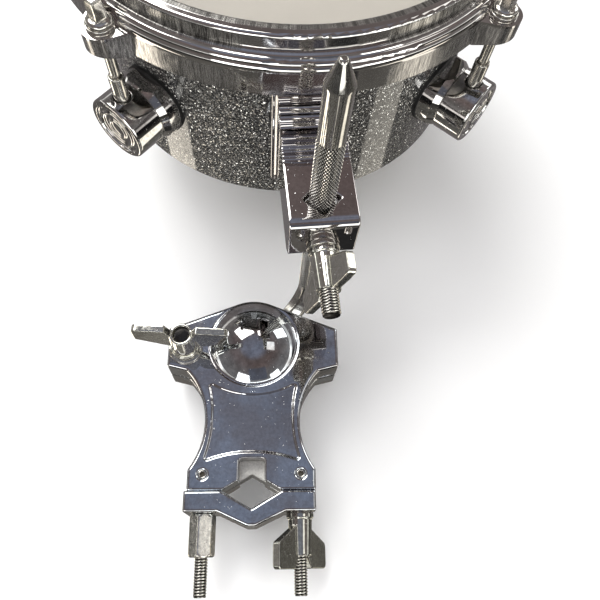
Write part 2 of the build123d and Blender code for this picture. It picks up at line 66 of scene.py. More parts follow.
MM = 0.001
UP = Vector((0, 0, 1))
TURN = 2 * math.pi


# ---------------------------------------------------------------- places, from the CAD

def middle(node):
    """Middle of a CAD node's box."""
    low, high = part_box(node)
    return (low + high) / 2


# Distances, in millimetres.
ROD_FROM_DRUM, BALL_FROM_TUBE, EYEBOLT_UP = 151.5, 72.0, 84.5
SWING_X, SWING_Y = 23.0, 7.3                   # the swing bolts' pins
EAR_SCREW = Vector((-34.0, 68.7, 0))

BRACKET_YAW = math.radians(5)                  # the bracket points a little to the right of -Y
OUTWARD = Vector((math.sin(BRACKET_YAW), -math.cos(BRACKET_YAW), 0))
DRUM = middle("drumhead") * Vector((1, 1, 0))
ROD = DRUM + ROD_FROM_DRUM * MM * OUTWARD
BALL = Vector((0, BALL_FROM_TUBE * MM, 0))
ARM = (ROD - BALL).normalized()
EYEBOLT = ROD + EYEBOLT_UP * MM * UP
LUG_COUNT = 4


def placed(origin, along):
    """Matrix whose Z runs along a level direction, and its X up, from the origin."""
    z = Vector(along).normalized()
    matrix = Matrix((UP, z.cross(UP), z)).transposed().to_4x4()
    matrix.translation = origin
    return matrix


def lug_angle(number):
    """Direction of a lug from +X. The bracket is halfway between the last lug and the first."""
    return BRACKET_YAW - math.pi / 2 + TURN / LUG_COUNT * (number - 0.5)


# ---------------------------------------------------------------- materials

class Tree:
    """Short calls that add nodes to a material's or the world's tree."""

    def __init__(self, tree):
        self.tree = tree

    def node(self, kind, inputs=None, **settings):
        made = self.tree.nodes.new("ShaderNode" + kind)
        for key, value in settings.items():
            setattr(made, key, value)
        self.feed(made, inputs or {})
        return made

    def feed(self, node, inputs):
        for key, value in inputs.items():
            if isinstance(value, bpy.types.NodeSocket):
                self.tree.links.new(value, node.inputs[key])
            else:
                node.inputs[key].default_value = value

    def math(self, operation, a, b=0.0):
        return self.node("Math", {0: a, 1: b}, operation=operation).outputs[0]

    def product(self, first, *others):
        """Product of several masks."""
        for other in others:
            first = self.math("MULTIPLY", first, other)
        return first

    def vector(self, operation, a, b=(0, 0, 0)):
        made = self.node("VectorMath", {0: a, 1: b}, operation=operation)
        return made.outputs["Value" if operation in ("DOT_PRODUCT", "LENGTH") else "Vector"]

    def scaled(self, a, factor):
        return self.node("VectorMath", {0: a, "Scale": factor}, operation="SCALE").outputs["Vector"]

    def span(self, value, low, high, to_low=0.0, to_high=1.0):
        """Smooth step of a value between two limits."""
        inputs = {"Value": value, "From Min": low, "From Max": high, "To Min": to_low, "To Max": to_high}
        return self.node("MapRange", inputs, interpolation_type="SMOOTHSTEP").outputs["Result"]

    def noise(self, where, size, detail=2.0, roughness=0.5):
        """Noise with features of that size in metres."""
        inputs = {"Vector": where, "Scale": 1 / size, "Detail": detail, "Roughness": roughness}
        return self.node("TexNoise", inputs).outputs["Fac"]

    def cells(self, where, size):
        """Random cells of that size in metres."""
        return self.node("TexVoronoi", {"Vector": where, "Scale": 1 / size})

    def mix(self, factor, a, b):
        """Mix of two colours."""
        made = self.node("Mix", data_type="RGBA")
        self.feed(made, {0: factor, 6: a, 7: b})
        return made.outputs[2]

    def blend(self, factor, a, b):
        """Mix of two numbers."""
        return self.node("Mix", {0: factor, 2: a, 3: b}).outputs[0]

    def bump(self, height, distance, normal=None):
        inputs = {"Height": height, "Distance": distance, "Strength": 1.0}
        if normal is not None:
            inputs["Normal"] = normal
        return self.node("Bump", inputs).outputs["Normal"]


def rgba(red, green, blue):
    return (red, green, blue, 1.0)


def surface(name, **values):
    """New material: its tree, its shader and the object coordinates."""
    material = bpy.data.materials.new(name)
    material.use_nodes = True
    tree = Tree(material.node_tree)
    shader = material.node_tree.nodes["Principled BSDF"]
    tree.feed(shader, {key.replace("_", " "): value for key, value in values.items()})
    return material, tree, shader, tree.node("TexCoord").outputs["Object"]


def reopened(material):
    """Tree, shader and object coordinates of a material that is made already."""
    tree = Tree(material.node_tree)
    return tree, material.node_tree.nodes["Principled BSDF"], tree.node("TexCoord").outputs["Object"]


def polar(tree, where):
    """Coordinates round the drum's axis, in metres: along a circle of 100 mm radius, outwards and up."""
    local = tree.vector("SUBTRACT", where, tuple(DRUM))
    parts = tree.node("SeparateXYZ", {0: local})
    angle = tree.math("ARCTAN2", parts.outputs["Y"], parts.outputs["X"])
    outwards = tree.vector("LENGTH", tree.vector("MULTIPLY", local, (1, 1, 0)))
    return tree.math("MULTIPLY", angle, 100 * MM), outwards, parts.outputs["Z"]


CLOUD_SIZE, SMEAR_SIZE, MOTTLE_SIZE = 20 * MM, 5 * MM, 1.6 * MM
COARSE_DUST, FINE_DUST = (2.6 * MM, 0.36), (1.1 * MM, 0.16)      # spacing, and share of cells with a speck
DUST_EDGE, DUST_HEIGHT, DUST_ROUGHNESS = (0.06, 0.13), 0.02 * MM, 0.35


def specks(tree, where, spacing, share):
    """Mask of small round dots of dust, one in each chosen cell."""
    dots = tree.cells(where, spacing)
    chance = tree.node("SeparateColor", {0: dots.outputs["Color"]}).outputs[0]
    chosen = tree.span(chance, 1 - share, 1 - share + 0.02)
    return tree.product(tree.span(dots.outputs["Distance"], *DUST_EDGE, 1.0, 0.0), chosen)


def chrome(name, light, dark, rough, ripple=0.02 * MM, ripple_size=9 * MM, speck=0.6, mottle=0.16, metal=1.0):
    """Plated casting: cloudy tint, fine mottle, smears, faint ripples and specks of dust."""
    material, tree, shader, where = surface(name, Metallic=metal)
    cloud = tree.span(tree.noise(where, CLOUD_SIZE, 4.0, 0.6), 0.36, 0.64)
    mottled = tree.span(tree.noise(where, MOTTLE_SIZE, 5.0, 0.7), 0.3, 0.7, 1 - mottle, 1 + mottle)
    colour = tree.scaled(tree.mix(cloud, light, dark), mottled)
    dust = tree.math("MAXIMUM", specks(tree, where, *COARSE_DUST), specks(tree, where, *FINE_DUST))
    colour = tree.mix(tree.product(dust, speck), colour, rgba(0.95, 0.95, 0.93))
    smear = tree.span(tree.noise(where, SMEAR_SIZE, 6.0, 0.65), 0.35, 0.75, rough * 0.4, rough * 1.9)
    roughness = tree.math("ADD", smear, tree.product(dust, DUST_ROUGHNESS))
    normal = tree.bump(tree.noise(where, ripple_size, 2.0), ripple)
    normal = tree.bump(dust, DUST_HEIGHT, normal)
    tree.feed(shader, {"Base Color": colour, "Roughness": roughness, "Normal": normal})
    return material


def grooves(tree, where, at, along, start, end, crest, root):
    """Mask of a screw's grooves: between two radii from its axis, and between two places along it."""
    local = tree.vector("SUBTRACT", where, tuple(at))
    distance = tree.vector("DOT_PRODUCT", local, tuple(along))
    radius = tree.vector("LENGTH", tree.vector("SUBTRACT", local, tree.scaled(tuple(along), distance)))
    edge = 0.2 * MM
    after_start = tree.span(distance, start - edge, start + edge)
    before_end = tree.span(distance, end + edge, end - edge)
    return tree.product(after_start, before_end, tree.span(radius, crest, root))


def grooved(material, rows, tone_and_shade, metal=None):
    """Gives the grooves of the screws that share a material a colour and a share of metal: the knurl's own
    paler tone, and painted shade deep in knurl and thread grooves.
    """
    tree, shader, where = reopened(material)
    colour = shader.inputs["Base Color"].links[0].from_socket
    for row in rows:
        mask = grooves(tree, where, *row)
        colour = tree.mix(mask, colour, tone_and_shade)
        if metal is not None:
            plain_share = shader.inputs["Metallic"].default_value
            tree.feed(shader, {"Metallic": tree.span(mask, 0.0, 1.0, plain_share, metal)})
    tree.feed(shader, {"Base Color": colour})
    return material


POCKET_HALF, POCKET_END, POCKET_FLOOR = 6.0 * MM, 14.7 * MM, 6.0 * MM     # pocket for a memory lock's key


def clamp_chrome(name, **values):
    """Clamp's plating, whose key pocket has a bright floor left as cast."""
    material = chrome(name, **values)
    tree, shader, where = reopened(material)
    parts = tree.node("SeparateXYZ", {0: where})
    soft = 0.2 * MM
    narrow = tree.span(tree.math("ABSOLUTE", parts.outputs["X"]), POCKET_HALF, POCKET_HALF + soft, 1.0, 0.0)
    near = tree.span(parts.outputs["Y"], POCKET_END, POCKET_END + soft, 1.0, 0.0)
    under = tree.span(parts.outputs["Z"], POCKET_FLOOR + soft, POCKET_FLOOR + 3 * soft, 1.0, 0.0)
    over = tree.span(parts.outputs["Z"], POCKET_FLOOR - 3 * soft, POCKET_FLOOR - 1.5 * soft)
    pocket = tree.product(narrow, near, under, over)
    grain = tree.noise(where, 0.9 * MM, 4.0, 0.7)
    as_cast = tree.mix(grain, rgba(0.34, 0.33, 0.30), rgba(0.95, 0.93, 0.88))
    colour, roughness = (shader.inputs[key].links[0].from_socket for key in ("Base Color", "Roughness"))
    tree.feed(shader, {
        "Base Color": tree.mix(pocket, colour, as_cast),
        "Roughness": tree.blend(pocket, roughness, 0.5),
        "Metallic": tree.blend(pocket, shader.inputs["Metallic"].default_value, 0.35),
    })
    return material


# Hoop: heights of its wall's two ends, its inner rim's lower end and its skirt's top, and the rim's radius.
WALL_LOW, WALL_HIGH, RIM_LOW, SKIRT_TOP = 134.2 * MM, 139.8 * MM, 137.0 * MM, 126.6 * MM
RIM_R = 103.0 * MM
MARK_WIDTH, MARK_GROUP, MARK_STRETCH = 0.42 * MM, 2.6 * MM, 0.06
POLISHED_EDGE = math.cos(math.radians(16))     # half the angle of the hoop's polished part


def hoop_chrome(name):
    """Chromed hoop whose walls and rim keep fine upright grinding marks as bumps and roughness, with painted
    streaks of dark and light reflection in their colour; polished out over the bracket.
    """
    material, tree, shader, where = surface(name)
    along, out, up = polar(tree, where)
    stretched = tree.math("MULTIPLY", up, MARK_STRETCH)
    marks_at = tree.node("CombineXYZ", {0: along, 1: stretched, 2: 0.0}).outputs[0]
    marks = tree.noise(marks_at, MARK_WIDTH, 2.0, 0.7)
    groups = tree.noise(marks_at, MARK_GROUP, 2.0)
    soft = 0.6 * MM
    on_wall = tree.product(tree.span(up, WALL_LOW - 1 * MM, WALL_LOW),
                           tree.span(up, WALL_HIGH + soft, WALL_HIGH))
    on_rim = tree.product(tree.span(up, RIM_LOW - 1 * MM, RIM_LOW), tree.span(out, RIM_R + soft, RIM_R))
    on_skirt = tree.span(up, SKIRT_TOP + soft, SKIRT_TOP, 0.0, 0.75)
    from_axis = tree.vector("MULTIPLY", tree.vector("SUBTRACT", where, tuple(DRUM)), (1, 1, 0))
    facing = tree.vector("DOT_PRODUCT", tree.vector("NORMALIZE", from_axis), tuple(OUTWARD))
    unpolished = tree.span(facing, POLISHED_EDGE, POLISHED_EDGE + 0.006, 1.0, 0.10)
    amount = tree.product(tree.math("MAXIMUM", on_wall, on_skirt), unpolished)
    amount = tree.math("MAXIMUM", amount, on_rim)
    painted_streak = tree.span(tree.math("ADD", marks, tree.product(groups, 0.5)), 0.55, 0.98)
    # Painted reflection: the marks streak the colour from near black to pale, standing in for streaks of the
    # room's reflection.
    tint = tree.mix(painted_streak, rgba(0.065, 0.062, 0.058), rgba(0.54, 0.525, 0.50))
    cloud = tree.span(tree.noise(where, 18 * MM, 4.0), 0.35, 0.65)
    bright = tree.mix(cloud, rgba(0.60, 0.58, 0.57), rgba(0.70, 0.68, 0.67))
    smear = tree.span(tree.noise(where, 6 * MM, 5.0), 0.35, 0.7, 0.03, 0.10)
    tree.feed(shader, {
        "Base Color": tree.mix(amount, bright, tint),
        "Roughness": tree.math("ADD", smear, tree.product(amount, 0.16)),
        "Metallic": tree.math("SUBTRACT", 1.0, tree.product(amount, 0.14)),
        "Normal": tree.bump(tree.product(marks, amount), 0.03 * MM),
    })
    return material


FLAKE_SIZE, FLAKE_TILT = 0.60 * MM, 1.15


def glitter(name):
    """Shell finish: silver flakes at random tilts in dark lacquer, under a clear gloss coat."""
    material, tree, shader, where = surface(
        name, Coat_Weight=1.0, Coat_Roughness=0.05, Coat_IOR=1.5, Roughness=0.20)
    flakes = tree.cells(where, FLAKE_SIZE)
    chance = tree.node("SeparateColor", {0: flakes.outputs["Color"]})
    tilt = tree.scaled(tree.vector("SUBTRACT", flakes.outputs["Color"], (0.5, 0.5, 0.5)), FLAKE_TILT)
    straight = tree.node("NewGeometry").outputs["Normal"]
    normal = tree.vector("NORMALIZE", tree.vector("ADD", straight, tilt))
    shown = tree.span(chance.outputs[1], 0.22, 0.34)
    inside = tree.span(flakes.outputs["Distance"], 0.46, 0.60, 1.0, 0.0)
    flake = tree.product(shown, inside)
    bright = tree.math("POWER", chance.outputs[2], 2.6)
    silver = tree.mix(bright, rgba(0.12, 0.118, 0.112), rgba(1.0, 0.98, 0.93))
    patchy = tree.span(tree.noise(where, 14 * MM, 3.0), 0.3, 0.7, 0.85, 1.0)
    colour = tree.mix(flake, rgba(0.020, 0.020, 0.021), silver)
    colour = tree.mix(patchy, rgba(0.03, 0.03, 0.03), colour)
    metal = tree.span(flake, 0.0, 1.0, 0.2, 0.72)
    tree.feed(shader, {"Base Color": colour, "Metallic": metal, "Normal": normal})
    return material


def film(name):
    """Coated drumhead: warm white with a faint tooth and smudges."""
    material, tree, shader, where = surface(name, Coat_Weight=0.08, Coat_Roughness=0.35)
    smudge = tree.span(tree.noise(where, 40 * MM, 4.0, 0.6), 0.3, 0.7)
    grain = tree.noise(where, 0.45 * MM, 3.0, 0.7)
    colour = tree.mix(smudge, rgba(0.412, 0.384, 0.338), rgba(0.440, 0.412, 0.364))
    colour = tree.mix(tree.span(grain, 0.3, 0.7, 0.0, 0.10), colour, rgba(0.39, 0.362, 0.315))
    roughness = tree.span(smudge, 0.0, 1.0, 0.50, 0.62)
    normal = tree.bump(grain, 0.03 * MM)
    tree.feed(shader, {"Base Color": colour, "Roughness": roughness, "Normal": normal})
    return material


def plain(name, light, dark, rough, metallic=0.0, size=6 * MM, grain=0.5 * MM, depth=0.003 * MM):
    """Satin metal, rubber or plastic with a fine grain and a slightly uneven colour."""
    material, tree, shader, where = surface(name, Metallic=metallic)
    cloud = tree.span(tree.noise(where, size, 4.0, 0.6), 0.32, 0.68)
    fine = tree.noise(where, grain, 3.0, 0.6)
    roughness = tree.span(fine, 0.3, 0.7, rough * 0.8, rough * 1.25)
    normal = tree.bump(fine, depth)
    tree.feed(shader, {"Base Color": tree.mix(cloud, light, dark), "Roughness": roughness, "Normal": normal})
    return material


# Screws and knurling: a point and the direction of the axis, start and end, radii of the crests and roots.
# The first table gives the knurl's paler tone; the other two give where painted shade darkens the grooves of
# the knurl and the threads.
KNURLED = [(ROD, UP, 24 * MM, 139 * MM, 6.0 * MM, 5.6 * MM)]       # all of its radii
KNURL_GROOVE_SHADE = [(ROD, UP, 24 * MM, 139 * MM, 5.42 * MM, 5.20 * MM)]
THREAD_GROOVE_SHADE = [
    (Vector((-SWING_X, 0, 0)) * MM, Vector((0, -1, 0)), 6 * MM, 46 * MM, 3.05 * MM, 2.75 * MM),
    (Vector((SWING_X, 0, 0)) * MM, Vector((0, -1, 0)), 6 * MM, 46 * MM, 3.05 * MM, 2.75 * MM),
    (EYEBOLT, OUTWARD, 13 * MM, 45 * MM, 3.85 * MM, 3.5 * MM),
    (EAR_SCREW * MM, UP, 8 * MM, 35 * MM, 3.85 * MM, 3.5 * MM),
]


def rod_chrome(name):
    """L-rod's plating: duller and paler on the knurling, with painted shade in its grooves."""
    material = chrome(name, rgba(0.64, 0.62, 0.58), rgba(0.50, 0.485, 0.45), 0.12, mottle=0.06, metal=0.96)
    material = grooved(material, KNURLED, rgba(1.0, 0.98, 0.92), 0.82)
    # Painted shade: a dark colour deep in the knurl's grooves.
    return grooved(material, KNURL_GROOVE_SHADE, rgba(0.10, 0.095, 0.085))


def screw_steel(name):
    """Plated steel with painted shade in the grooves of its threads."""
    material = plain(name, rgba(0.72, 0.70, 0.65), rgba(0.56, 0.54, 0.50), 0.16, 0.96, size=4 * MM)
    # Painted shade: a dark colour deep in the grooves of the threads.
    return grooved(material, THREAD_GROOVE_SHADE, rgba(0.07, 0.065, 0.06))


LOOKS = {
    "shell_finish": glitter("glitter_lacquer"),
    "head_film": film("coated_film"),
    "hoop_aluminium": plain("satin_aluminium", rgba(0.60, 0.60, 0.61), rgba(0.48, 0.48, 0.49), 0.34, 1.0),
    "rubber": plain("black_rubber", rgba(0.006, 0.006, 0.006), rgba(0.012, 0.012, 0.012), 0.6),
    "nylon": plain("black_nylon", rgba(0.02, 0.02, 0.02), rgba(0.03, 0.03, 0.032), 0.38),
    "hoop_chrome": hoop_chrome("hoop_plate"),
    "lug_chrome": chrome("lug_plate", rgba(0.68, 0.67, 0.66), rgba(0.56, 0.55, 0.54), 0.05),
    "bracket_chrome": chrome("bracket_plate", rgba(0.62, 0.60, 0.60), rgba(0.52, 0.49, 0.49), 0.04,
                             mottle=0.08),
    "clamp_chrome": clamp_chrome("clamp_plate", light=rgba(0.62, 0.66, 0.71), dark=rgba(0.50, 0.48, 0.48),
                                 rough=0.06, ripple=0.03 * MM, speck=0.9, mottle=0.12),
    "rod_chrome": rod_chrome("rod_plate"),
    "wing_nut_chrome": chrome("wing_nut_plate", rgba(0.72, 0.71, 0.65), rgba(0.56, 0.55, 0.50), 0.07,
                              ripple=0.03 * MM, ripple_size=5 * MM, metal=0.96),
    "nickel": plain("hammered_nickel", rgba(0.90, 0.87, 0.80), rgba(0.66, 0.64, 0.59), 0.22, 0.94,
                    size=2.4 * MM, grain=1.1 * MM, depth=0.02 * MM),
    "screw_steel": screw_steel("plated_steel"),
}
SLOT_OF = {row["node"]: row["material_slot"] for row in frame["record"]["subparts"]}
for node_name, node in frame["nodes"].items():
    for slot in node.material_slots:
        slot.material = LOOKS[SLOT_OF[node_name]]


# ---------------------------------------------------------------- mesh tools

def skin(rings, looped=False):
    """Vertices and faces of a tube through closed rings of points, shape (rows, columns, 3)."""
    rows, columns = rings.shape[:2]
    index = np.arange(rows * columns).reshape(rows, columns)
    near, far = (index, np.roll(index, -1, 0)) if looped else (index[:-1], index[1:])
    quads = np.stack([near, np.roll(near, -1, 1), np.roll(far, -1, 1), far], -1).reshape(-1, 4).tolist()
    if not looped:
        quads += [index[0][::-1].tolist(), index[-1].tolist()]
    return rings.reshape(-1, 3), quads


def ring_rows(radii, heights, columns):
    """Rings about Z. radii holds one value for each row, or one for each row and column."""
    angle = np.arange(columns) * TURN / columns
    radii = np.broadcast_to(np.asarray(radii, float).reshape(len(heights), -1), (len(heights), columns))
    heights = np.broadcast_to(np.asarray(heights, float)[:, None], radii.shape)
    return np.stack([radii * np.cos(angle), radii * np.sin(angle), heights], -1)


CORNER_SHARE = 0.45      # of a straight stretch, the most that one rounded corner may take


def softened(points, radius, steps=4):
    """Polyline with its inner corners rounded."""
    points = [np.array(p, float) for p in points]
    out = [points[0]]
    for before, corner, after in zip(points, points[1:], points[2:]):
        back, ahead = np.linalg.norm(before - corner), np.linalg.norm(after - corner)
        reach = min(radius, CORNER_SHARE * back, CORNER_SHARE * ahead)
        start = corner + (before - corner) / back * reach
        end = corner + (after - corner) / ahead * reach
        for t in np.linspace(0, 1, steps + 1):
            out.append((1 - t) ** 2 * start + 2 * t * (1 - t) * corner + t * t * end)
    return out + [points[-1]]


def lathe(points, columns, corner, looped=False):
    """Turned shape from (radius, height) points in millimetres, with rounded corners."""
    if looped:
        halfway = [(np.array(points[0]) + np.array(points[-1])) / 2]
        outline = np.array(softened(halfway + points + halfway, corner)[:-1])
    else:
        outline = np.array(softened(points, corner))
    return skin(ring_rows(outline[:, 0], outline[:, 1], columns), looped)


def flat_sided(angle, half, sides, sharpness):
    """Radius of a rounded polygon with an even number of sides, at each angle."""
    total = sum(np.abs(np.cos(angle - math.pi * k / (sides / 2))) ** sharpness for k in range(sides // 2))
    return half / total ** (1 / sharpness)


THREAD_COLUMNS, ROWS_PER_TURN = 36, 8


def thread_rows(low, high, radius, pitch, depth):
    """Heights, and radii for each row and column, of a thread that starts shallow and ends with a bevel."""
    heights = np.arange(low, high, pitch / ROWS_PER_TURN)
    phase = heights[:, None] / pitch - np.arange(THREAD_COLUMNS)[None, :] / THREAD_COLUMNS
    wave = np.abs(2 * (phase % 1) - 1)
    run_in = np.clip((heights - low) / pitch, 0, 1) * np.clip((high - heights) / (0.7 * pitch), 0, 1)
    groove = depth * (1 - np.clip(1.25 * wave, 0, 1)) * np.clip((heights - low) / pitch, 0, 1)[:, None]
    end_bevel = 0.6 * depth * (1 - np.clip(run_in + (heights < (low + high) / 2), 0, 1))[:, None]
    return heights, radius - groove - end_bevel


def joined(*parts):
    """Several (vertices, faces) as one."""
    vertices, faces, start = [], [], 0
    for points, polygons in parts:
        vertices.append(np.asarray(points, float))
        faces += [[i + start for i in polygon] for polygon in polygons]
        start += len(points)
    return np.concatenate(vertices), faces


def moved(part, matrix):
    """(vertices, faces) in millimetres, carried by a matrix in millimetres."""
    points, faces = part
    m = np.array(matrix, float)
    return np.asarray(points, float) @ m[:3, :3].T + m[:3, 3], faces


def add(name, part, body, slot, replaces, place=None, smooth_angle=50.0):
    """New piece from (vertices, faces) in millimetres, put in place, on its body."""
    points, faces = part
    points = np.asarray(points, float) * MM
    if place is not None:
        m = np.array(place, float)
        points = points @ m[:3, :3].T + m[:3, 3]
    mesh = bpy.data.meshes.new(name)
    mesh.from_pydata(points.tolist(), [], faces)
    piece = bpy.data.objects.new(name, mesh)
    scene.collection.objects.link(piece)
    dress(piece, body, slot, replaces, smooth_angle)


def dress(piece, body, slot, replaces, smooth_angle):
    """Smooths a piece, gives it the material of its slot, puts it on its body, and hides the CAD nodes it
    stands for.
    """
    mesh = piece.data
    mesh.update()
    mesh.shade_smooth()
    mesh.set_sharp_from_angle(angle=math.radians(smooth_angle))
    mesh.materials.clear()
    mesh.materials.append(LOOKS[slot])
    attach(piece, body)
    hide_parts(*replaces)


def apply_modifiers(piece):
    """Replaces a piece's mesh with the result of its modifiers."""
    bpy.context.view_layer.update()
    mesh = bpy.data.meshes.new_from_object(piece.evaluated_get(bpy.context.evaluated_depsgraph_get()))
    piece.modifiers.clear()
    piece.data = mesh


WELD = 0.002 * MM


def cast(name, node, voxel, rounds, body, turn=0.0, shape=None):
    """Copy of a CAD casting with softly rounded edges, remeshed square to its own turn about the drum."""
    turned = Matrix.Translation(DRUM) @ Matrix.Rotation(turn, 4, "Z")
    mesh = frame["nodes"][node].data.copy()
    mesh.transform(turned.inverted())
    clean = bmesh.new()
    clean.from_mesh(mesh)
    bmesh.ops.remove_doubles(clean, verts=clean.verts, dist=WELD)
    clean.to_mesh(mesh)
    clean.free()
    piece = bpy.data.objects.new(name, mesh)
    scene.collection.objects.link(piece)
    remesh = piece.modifiers.new("remesh", "REMESH")
    remesh.mode = "VOXEL"
    remesh.voxel_size = voxel * MM
    soften = piece.modifiers.new("soften", "SMOOTH")
    soften.factor = 0.5
    soften.iterations = rounds
    apply_modifiers(piece)
    piece.data.transform(turned)
    if shape:
        points = np.zeros(len(piece.data.vertices) * 3)
        piece.data.vertices.foreach_get("co", points)
        points = shape(points.reshape(-1, 3) / MM) * MM
        piece.data.vertices.foreach_set("co", points.ravel())
    dress(piece, body, SLOT_OF[node], [node], smooth_angle=180.0)


# ---------------------------------------------------------------- clamp

DOME_R, DOME_HEIGHT, CLAMP_TOP = 21.5, 9.5, 15.0
RING_R, RING_WIDTH, RING_DEPTH = 22.3, 0.45, 0.35
DOME_SPHERE = (DOME_R ** 2 + DOME_HEIGHT ** 2) / (2 * DOME_HEIGHT)
ON_DOME, FOOT_HEIGHT, FOOT_BAND, FLAT_BAND = 0.4, 1.3, 1.6, 0.5      # how far off a point may be to be moved
RING_REACH = 3.0


def true_dome(points):
    """Puts the points of the domes exactly on their spheres, with a crisp foot and a fine groove round it."""
    for side in (1, -1):
        centre = np.array([0, BALL.y / MM, side * (CLAMP_TOP + DOME_HEIGHT - DOME_SPHERE)])
        offset = points - centre
        distance = np.linalg.norm(offset, axis=1)
        near = (np.abs(distance - DOME_SPHERE) < ON_DOME) & (side * points[:, 2] > CLAMP_TOP + 0.9)
        points[near] = centre + offset[near] * (DOME_SPHERE / distance[near])[:, None]
        from_axis = np.hypot(points[:, 0], points[:, 1] - centre[1])
        foot = (np.abs(side * points[:, 2] - CLAMP_TOP) < FOOT_BAND) & (from_axis < DOME_R)
        rise = np.sqrt(DOME_SPHERE ** 2 - np.minimum(from_axis, DOME_R) ** 2)
        foot &= side * centre[2] + rise < CLAMP_TOP + FOOT_HEIGHT
        points[foot, 2] = side * (side * centre[2] + rise[foot])
        flat = (side * points[:, 2] > CLAMP_TOP - FLAT_BAND) & (from_axis >= DOME_R)
        flat &= from_axis < DOME_R + RING_REACH
        groove = RING_DEPTH * np.exp(-((from_axis - RING_R) / RING_WIDTH) ** 2)
        points[flat, 2] = side * (np.minimum(side * points[flat, 2], CLAMP_TOP) - groove[flat])
    return points


cast("clamp_top", "clamp_top_casting", 0.42, 4, "clamp", shape=true_dome)
cast("clamp_bottom", "clamp_bottom_casting", 0.5, 4, "clamp", shape=true_dome)
cast("loose_jaw", "jaw", 0.4, 4, "jaw")
for label in ("ear", "jaw", "bracket"):
    cast(f"{label}_wing", f"{label}_wing_nut", 0.28, 4, f"{label}_wing_nut")

SWING_R, SWING_LENGTH, SWING_THREAD = 3.175, 52.3, 13.0
QUARTER_INCH_PITCH, M8_R, M8_PITCH = 1.27, 4.0, 1.25
QUARTER_INCH_DEPTH, M8_DEPTH = 0.55, 0.6
EYE_R, EYE_HALF, PIN_R, PIN_HALF, PIN_WALL = 5.0, 3.2, 2.0, 14.0, 0.8
PLAY = 0.05


def screw(smooth_from, thread_from, end, radius, pitch, depth):
    """Shank along Z: smooth, then threaded to its end."""
    heights, radii = thread_rows(thread_from, end, radius, pitch, depth)
    heights = np.concatenate([[smooth_from, thread_from - 0.2], heights])
    radii = np.concatenate([np.full((2, THREAD_COLUMNS), radius), radii])
    return skin(ring_rows(radii, heights, THREAD_COLUMNS))


def washer(inner, outer, low, high, edge, columns=72):
    """Ring about Z with rounded edges."""
    return lathe([(inner, low), (outer, low), (outer, high), (inner, high)], columns, edge, looped=True)


pins = []
for side, label in ((-1, "left"), (1, "right")):
    at_pin = Vector((side * SWING_X, SWING_Y, 0))
    shank = screw(EYE_R - 1, SWING_THREAD, SWING_LENGTH, SWING_R, QUARTER_INCH_PITCH, QUARTER_INCH_DEPTH)
    shank = moved(shank, placed(at_pin, (0, -1, 0)))
    eye = moved(washer(PIN_R + PLAY, EYE_R, -EYE_HALF, EYE_HALF, 0.5), Matrix.Translation(at_pin))
    add(f"swing_bolt_{label}", joined(shank, eye), "clamp", "screw_steel", [f"jaw_bolt_{label}"])
    pin = washer(PIN_R - PIN_WALL, PIN_R, -PIN_HALF, PIN_HALF, 0.35, 40)
    pins.append(moved(pin, Matrix.Translation(at_pin)))

HEAD_END, HEAD_SEAT, HEAD_R, EAR_THREAD, EAR_SCREW_END = -19.0, -CLAMP_TOP, 7.8, 8.0, 34.0
EAR_WASHER_R, EAR_WASHER_TOP = 8.4, CLAMP_TOP + 2
at_ear = Matrix.Translation(EAR_SCREW)
head = lathe([(0.01, HEAD_END), (5.6, HEAD_END), (HEAD_R, HEAD_SEAT), (M8_R - 0.5, HEAD_SEAT)], 64, 0.9)
shank = screw(HEAD_SEAT - 0.5, EAR_THREAD, EAR_SCREW_END, M8_R, M8_PITCH, M8_DEPTH)
add("ear_screw", moved(joined(head, shank), at_ear), "clamp", "screw_steel", ["ear_bolt"])
ear_washer = washer(M8_R + 0.3, EAR_WASHER_R, CLAMP_TOP, EAR_WASHER_TOP, 0.5)
add("ear_flat_washer", moved(ear_washer, at_ear), "clamp", "screw_steel", ["ear_washer"])
add("spring_pins", joined(*pins), "clamp", "screw_steel", ["jaw_pins"])

HEX_HALF, HEX_LENGTH, HEX_SPIN, JAW_DEPTH = 5.55, 18.9, math.radians(14), 9.2
HEX_COLUMNS, FREE = 120, 9.0
HEX_ROWS = [      # height and largest radius: bevelled ends, and no limit between them
    (0.0, 5.25), (0.35, 5.75), (1.0, 6.25), (1.6, FREE), (9.0, FREE), (17.3, FREE),
    (17.9, 6.25), (18.5, 5.8), (HEX_LENGTH, 5.2),
]


def hex_nut():
    """Long hexagonal nut with its bore, about Z."""
    angle = np.arange(HEX_COLUMNS) * TURN / HEX_COLUMNS
    hexagon = flat_sided(angle - HEX_SPIN, HEX_HALF, 6, 40)
    outside = [np.minimum(hexagon, limit) for _, limit in HEX_ROWS]
    bore = np.full((2, HEX_COLUMNS), SWING_R + PLAY)
    heights = [height for height, _ in HEX_ROWS] + [HEX_LENGTH, 0.0]
    return skin(ring_rows(np.concatenate([outside, bore]), heights, HEX_COLUMNS), looped=True)


hex_place = Matrix.Translation((-SWING_X, -JAW_DEPTH, 0)) @ Matrix.Rotation(math.pi / 2, 4, "X")
add("long_hex_nut", moved(hex_nut(), hex_place), "jaw_hex_nut", "nickel", ["jaw_hex_nut"], smooth_angle=40)


# ---------------------------------------------------------------- L-rod

ROD_HEX_HALF, ROD_STRAIGHT, BEND_R = 4.75, 21.74, 20.0
HEX_TOP, KNURL_LOW, KNURL_TOP, SHOULDER, TIP = 22.4, 24.0, 139.0, 164.0, 174.0
ROD_R, KNURL_R, KNURL_DEPTH, KNURL_PITCH = 5.25, 5.5, 0.45, 2.1
KNURL_STARTS, KNURL_STEPS = 28, 6
ARM_START, TIP_R = -8.0, 1.2     # the arm starts inside the ball


